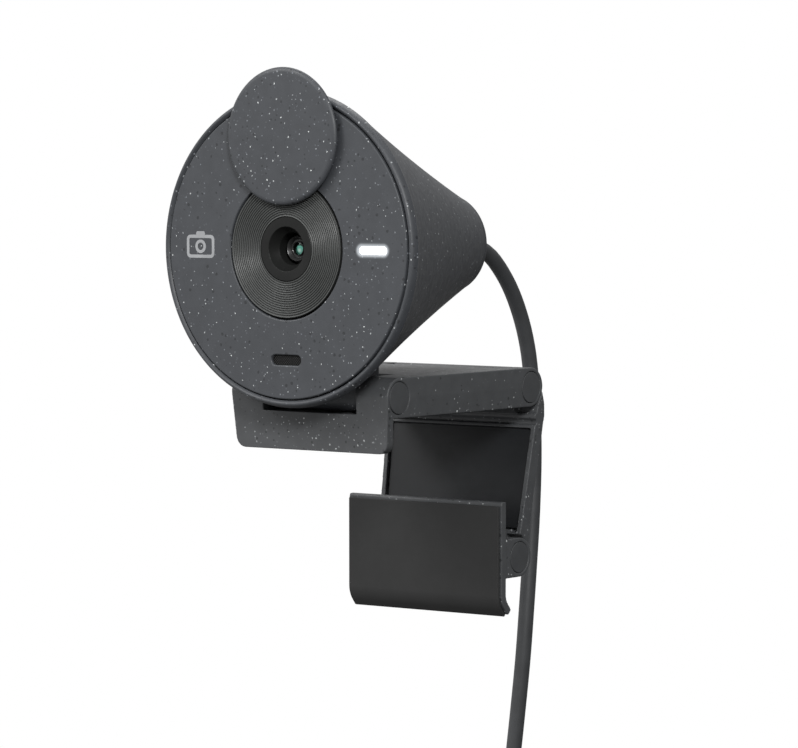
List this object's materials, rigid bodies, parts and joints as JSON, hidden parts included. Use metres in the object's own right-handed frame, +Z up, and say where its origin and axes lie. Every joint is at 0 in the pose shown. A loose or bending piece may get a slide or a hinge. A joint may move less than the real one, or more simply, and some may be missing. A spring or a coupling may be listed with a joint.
{
  "type": "webcam with monitor clip",
  "caption": "Conical webcam with a round face, a turning round lens shutter, a folding monitor clip and a thin round cable with a coil and plug.",
  "frame": {"origin": "on the rubber strip under the clip's arm, where a monitor's top edge bears, 10 mm behind the lip", "axes": "+Z up out of the monitor's top edge, -Y the way the camera looks, +X to the camera's left as it looks out, which is right in a view of its face"},
  "size_m": [0.0561, 0.0848, 0.1978],
  "materials": {
    "face_plastic": "fine satin graphite with light and dark flecks",
    "body_plastic": "fine satin graphite with light flecks",
    "clip_plastic": "fine satin graphite with light and dark flecks",
    "inlay_plastic": "smooth dark graphite",
    "ring_plastic": "grooved dark grey",
    "black_plastic": "matt black",
    "lens_glass": "coated, green tint",
    "light_lens": "milky white light window",
    "pad_rubber": "matt dark rubber",
    "cable_rubber": "satin cable jacket",
    "pin_steel": "plain steel",
    "plated_metal": "nickel plated",
    "circuit_board": "green solder mask",
    "chip_plastic": "black moulded package",
    "socket_plastic": "off-white",
    "flex_film": "amber film"
  },
  "bodies": {
    "clip_arm": {"clip_arm": "clip_plastic", "arm_grip_strip": "pad_rubber", "lip_pad": "pad_rubber", "tilt_hinge_pin": "pin_steel", "tilt_pin_cap_left": "clip_plastic", "tilt_pin_cap_right": "clip_plastic", "leg_hinge_pin": "pin_steel", "leg_pin_cap_left": "clip_plastic", "leg_pin_cap_right": "clip_plastic", "cable": "cable_rubber", "cable_coil": "cable_rubber", "coil_tie": "black_plastic", "plug_strain_relief": "cable_rubber", "usb_plug_body": "cable_rubber", "usb_plug_shell": "plated_metal", "usb_plug_tongue": "black_plastic"},
    "head": {"rear_housing": "body_plastic", "front_plate": "face_plastic", "lens_surround": "ring_plastic", "lens_hood": "black_plastic", "lens_barrel": "black_plastic", "front_lens": "lens_glass", "inner_lens": "lens_glass", "lens_holder": "black_plastic", "infrared_filter": "lens_glass", "image_sensor": "chip_plastic", "camera_board": "circuit_board", "camera_screw_1": "pin_steel", "camera_screw_2": "pin_steel", "lens_carrier": "black_plastic", "sensor_board": "circuit_board", "light_guide": "light_lens", "status_led": "light_lens", "microphone_mesh": "black_plastic", "microphone_gasket": "pad_rubber", "microphone": "plated_metal", "main_board": "circuit_board", "main_board_screw_1": "pin_steel", "main_board_screw_2": "pin_steel", "image_processor": "chip_plastic", "flex_ribbon": "flex_film", "cable_socket": "socket_plastic", "inner_lead": "cable_rubber", "cable_strain_relief": "cable_rubber", "shutter_friction_washer": "pin_steel"},
    "shutter": {"shutter_disc": "face_plastic", "shutter_pivot_screw": "pin_steel"},
    "leg": {"leg_frame": "clip_plastic", "leg_inlay": "inlay_plastic"},
    "foot": {"foot_plate": "clip_plastic", "foot_pad": "pad_rubber", "foot_hinge_pin": "pin_steel", "foot_pin_cap_left": "clip_plastic", "foot_pin_cap_right": "clip_plastic"}
  },
  "joints": [
    {"name": "head_tilt", "type": "hinge", "parent": "clip_arm", "child": "head", "pos_m": [0, -0.00855, 0.0038], "axis": [1, 0, 0], "range_deg": [-8, 20], "deforming": ["cable"]},
    {"name": "shutter_turn", "type": "hinge", "parent": "head", "child": "shutter", "pos_m": [0, -0.018, 0.03787], "axis": [0, 1, 0], "range_deg": [0, 180]},
    {"name": "leg_fold", "type": "hinge", "parent": "clip_arm", "child": "leg", "pos_m": [0, 0.02964, 0.0038], "axis": [1, 0, 0], "range_deg": [-50, 25]},
    {"name": "foot_fold", "type": "hinge", "parent": "leg", "child": "foot", "pos_m": [0, 0.0263, -0.02555], "axis": [1, 0, 0], "range_deg": [-35, 140]}
  ]
}
